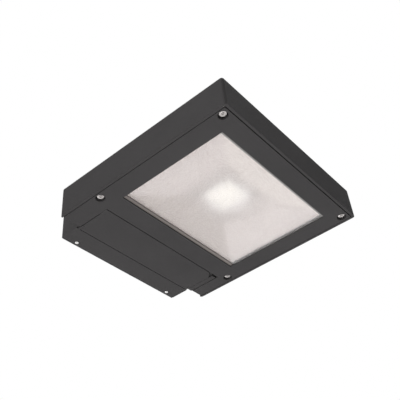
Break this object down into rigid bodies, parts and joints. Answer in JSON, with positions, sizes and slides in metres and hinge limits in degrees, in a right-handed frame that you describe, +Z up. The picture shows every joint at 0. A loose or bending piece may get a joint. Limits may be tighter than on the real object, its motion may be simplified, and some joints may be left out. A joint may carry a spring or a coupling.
{
  "type": "wall pack light",
  "caption": "Wide, flat outdoor wall light with a frosted square lens on its underside, a hinged lens door and a wiring box with a hinged cover behind it.",
  "frame": {"origin": "centre of the wall plate's back face, in the plane of the wall", "axes": "+Y points into the wall, +Z up, the light reaches out along -Y and shines along -Z"},
  "size_m": [0.33, 0.361, 0.0936],
  "materials": {
    "powder_coat": "satin textured powder coat",
    "foam_rubber": "matte closed-cell foam",
    "silicone_rubber": "matte",
    "zinc_steel": "zinc plated",
    "bright_steel": "stainless",
    "green_steel": "green dyed",
    "brass": "plain",
    "black_plastic": "matte",
    "mill_aluminium": "mill finish",
    "lens_glass": "frosted prismatic",
    "thermal_pad": "soft grey",
    "board_white": "white solder mask",
    "phosphor": "yellow phosphor",
    "white_plastic": "matte",
    "white_coat": "white reflective",
    "driver_case": "matte",
    "beige_plastic": "matte",
    "black_wire": "insulation",
    "red_wire": "insulation",
    "green_wire": "insulation",
    "white_wire": "insulation"
  },
  "bodies": {
    "fixture": {"housing": "powder_coat", "wiring_box": "powder_coat", "wall_gasket": "foam_rubber", "lead_grommets": "silicone_rubber", "wall_plate": "zinc_steel", "flange_nuts": "zinc_steel", "housing_screws": "zinc_steel", "driver_screws": "zinc_steel", "surge_screws": "zinc_steel", "heat_block_screws": "zinc_steel", "terminal_screws": "brass", "ground_screw": "green_steel", "box_screws": "bright_steel", "cover_pin": "bright_steel", "door_pins": "bright_steel", "reflector_screws": "bright_steel", "heat_block": "mill_aluminium", "thermal_pad": "thermal_pad", "led_board": "board_white", "led_emitters": "phosphor", "board_connector": "white_plastic", "reflector": "white_coat", "driver": "driver_case", "terminal_block": "beige_plastic", "surge_protector": "black_plastic", "led_lead_minus": "black_wire", "led_lead_plus": "red_wire", "ground_lead": "green_wire", "line_lead": "black_wire", "neutral_lead": "white_wire", "ground_bond": "green_wire", "surge_lead_line": "black_wire", "surge_lead_neutral": "white_wire"},
    "door": {"door_frame": "powder_coat", "door_screws": "bright_steel", "screw_retainers": "black_plastic", "lens": "lens_glass", "lens_gasket": "silicone_rubber", "lens_channel": "mill_aluminium", "lens_clips": "bright_steel", "door_seal": "foam_rubber"},
    "cover": {"wiring_cover": "powder_coat", "cover_springs": "bright_steel"}
  },
  "joints": [
    {"name": "door_hinge", "type": "hinge", "parent": "fixture", "child": "door", "pos_m": [0, -0.0435, -0.042], "axis": [1, 0, 0], "range_deg": [0, 90]},
    {"name": "cover_hinge", "type": "hinge", "parent": "fixture", "child": "cover", "pos_m": [0, -0.041, -0.0405], "axis": [1, 0, 0], "range_deg": [0, 85]}
  ]
}
